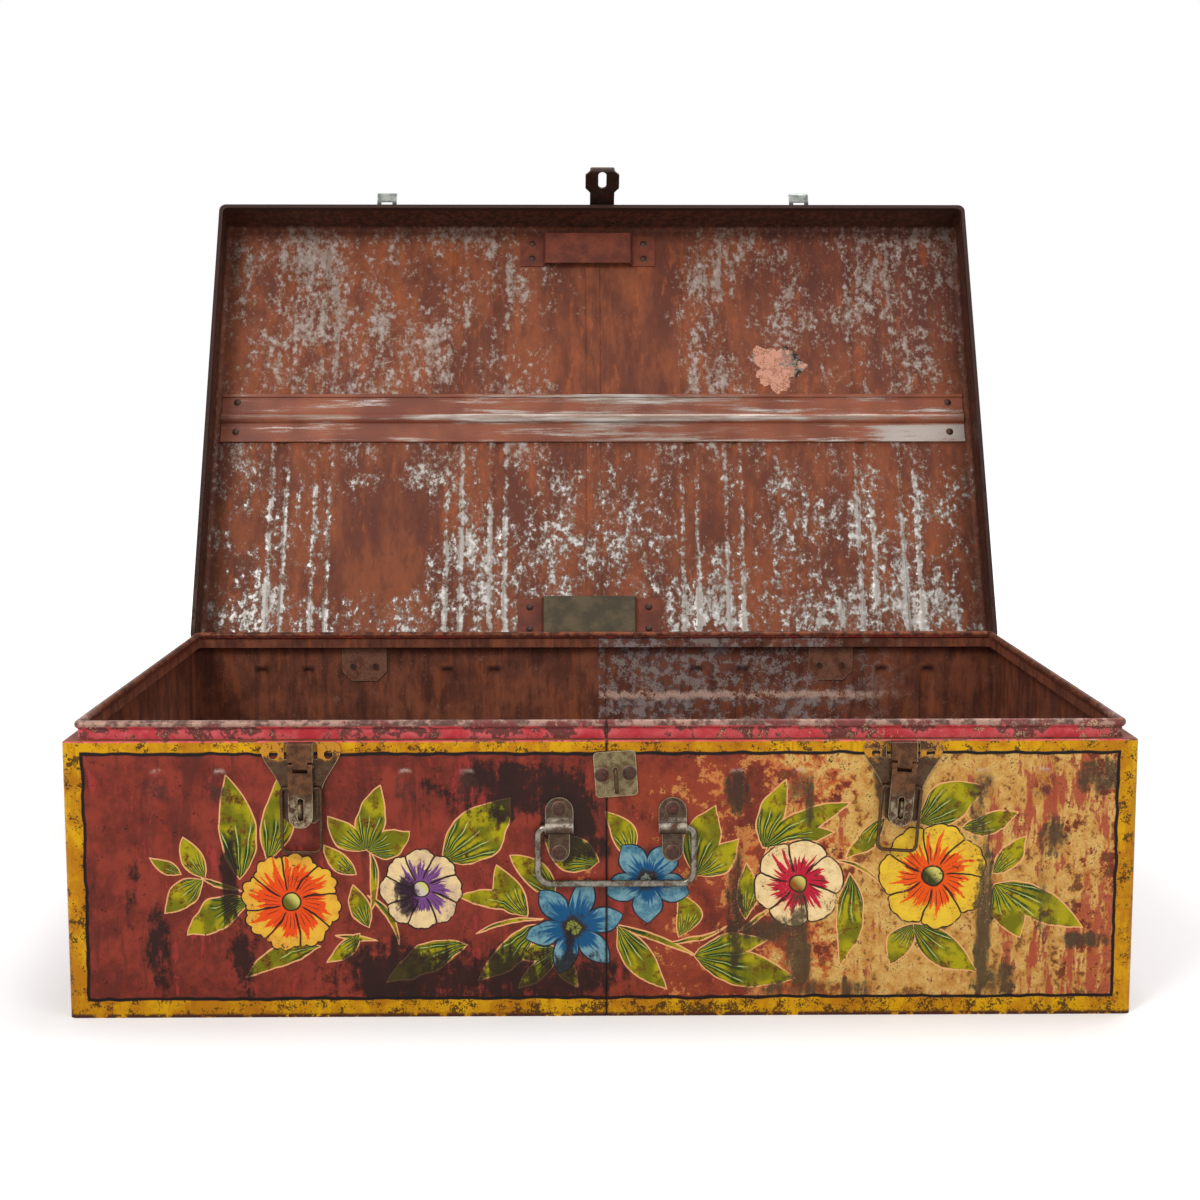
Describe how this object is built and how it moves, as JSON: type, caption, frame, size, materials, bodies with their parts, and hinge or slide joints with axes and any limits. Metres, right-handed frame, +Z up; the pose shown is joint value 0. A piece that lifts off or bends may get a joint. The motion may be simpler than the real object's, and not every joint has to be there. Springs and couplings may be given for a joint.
{
  "type": "small tin trunk",
  "caption": "Small shallow sheet-steel trunk with a hinged lid, wired rim, pressed ribs, two toggle latches, a hasp and staple, and a bail handle, shown open.",
  "frame": {"origin": "on the surface that the trunk stands on, under the middle of its body", "axes": "+Z up, +X to the right seen from the front, front towards -Y"},
  "size_m": [0.613, 0.5917, 0.5292],
  "materials": {
    "body_paint": "worn brick-red enamel with a yellow border and a common folk flower design",
    "floor_paint": "dull brown primer, dusty",
    "lid_paint": "red-brown primer inside, scratched to the zinc; worn red enamel outside",
    "strap_steel": "bare galvanised strip, stained",
    "bridge_paint": "brown and grey primer, worn",
    "rim_steel": "plain wire inside the curl",
    "rivet_steel": "dull, lightly rusted",
    "hinge_steel": "dull, lightly rusted",
    "latch_steel": "dull brown, rusted",
    "keeper_zinc": "dull zinc",
    "staple_brass": "dull, grey with age",
    "hasp_steel": "dull, lightly rusted",
    "handle_steel": "bare steel rod, dull",
    "bracket_steel": "dull brown, rusted"
  },
  "bodies": {
    "trunk_body": {"body_wall_left": "body_paint", "body_wall_right": "body_paint", "body_floor": "floor_paint", "rim_wire": "rim_steel", "hinge_left_body_leaf": "hinge_steel", "hinge_left_backing_plate": "hinge_steel", "hinge_left_pin": "hinge_steel", "latch_left_base": "latch_steel", "latch_left_pin": "latch_steel", "latch_left_padlock_eye": "latch_steel", "handle_bracket_left": "bracket_steel", "hinge_right_body_leaf": "hinge_steel", "hinge_right_backing_plate": "hinge_steel", "hinge_right_pin": "hinge_steel", "latch_right_base": "latch_steel", "latch_right_pin": "latch_steel", "latch_right_padlock_eye": "latch_steel", "handle_bracket_right": "bracket_steel", "hinge_body_rivets": "rivet_steel", "latch_rivets": "rivet_steel", "staple_plate": "staple_brass", "staple_eye": "latch_steel", "staple_rivets": "rivet_steel", "handle_rivets": "rivet_steel"},
    "lid": {"lid_pan_left": "lid_paint", "lid_pan_right": "lid_paint", "lid_strap": "strap_steel", "lid_strap_rivets": "rivet_steel", "lid_bridge_front": "bridge_paint", "lid_bridge_rear": "bridge_paint", "lid_bridge_rivets": "rivet_steel", "hinge_left_lid_leaf": "hinge_steel", "hinge_right_lid_leaf": "hinge_steel", "hinge_lid_rivets": "rivet_steel", "keeper_left": "keeper_zinc", "keeper_right": "keeper_zinc", "keeper_rivets": "rivet_steel", "hasp_plate": "hasp_steel", "hasp_pin": "hasp_steel", "hasp_rivets": "rivet_steel"},
    "hasp": {"hasp_tongue": "hasp_steel"},
    "latch_left_lever": {"latch_left_lever": "latch_steel"},
    "latch_right_lever": {"latch_right_lever": "latch_steel"},
    "latch_left_loop": {"latch_left_loop": "latch_steel"},
    "latch_right_loop": {"latch_right_loop": "latch_steel"},
    "handle": {"carrying_handle": "handle_steel"}
  },
  "joints": [
    {"name": "lid_hinge", "type": "hinge", "parent": "trunk_body", "child": "lid", "pos_m": [0, 0.19155, 0.161], "axis": [1, 0, 0], "range_deg": [0, 116.5]},
    {"name": "hasp_hinge", "type": "hinge", "parent": "lid", "child": "hasp", "pos_m": [0.0076, 0.37596, 0.49657], "axis": [-1, 0, 0], "range_deg": [-13.5, 120]},
    {"name": "handle_swing", "type": "hinge", "parent": "trunk_body", "child": "handle", "pos_m": [0.0078, -0.1894, 0.111], "axis": [-1, 0, 0], "range_deg": [0, 160]},
    {"name": "latch_left_lever_hinge", "type": "hinge", "parent": "trunk_body", "child": "latch_left_lever", "pos_m": [-0.17, -0.1908, 0.147], "axis": [1, 0, 0], "range_deg": [-100, 0]},
    {"name": "latch_right_lever_hinge", "type": "hinge", "parent": "trunk_body", "child": "latch_right_lever", "pos_m": [0.1706, -0.1908, 0.147], "axis": [0.9976, 0, -0.0698], "range_deg": [-100, 0]},
    {"name": "latch_left_loop_hinge", "type": "hinge", "parent": "latch_left_lever", "child": "latch_left_loop", "pos_m": [-0.17, -0.1903, 0.1345], "axis": [-1, 0, 0], "range_deg": [0, 178.4]},
    {"name": "latch_right_loop_hinge", "type": "hinge", "parent": "latch_right_lever", "child": "latch_right_loop", "pos_m": [0.16973, -0.1903, 0.13453], "axis": [-0.9976, 0, 0.0698], "range_deg": [0, 178.4]}
  ]
}
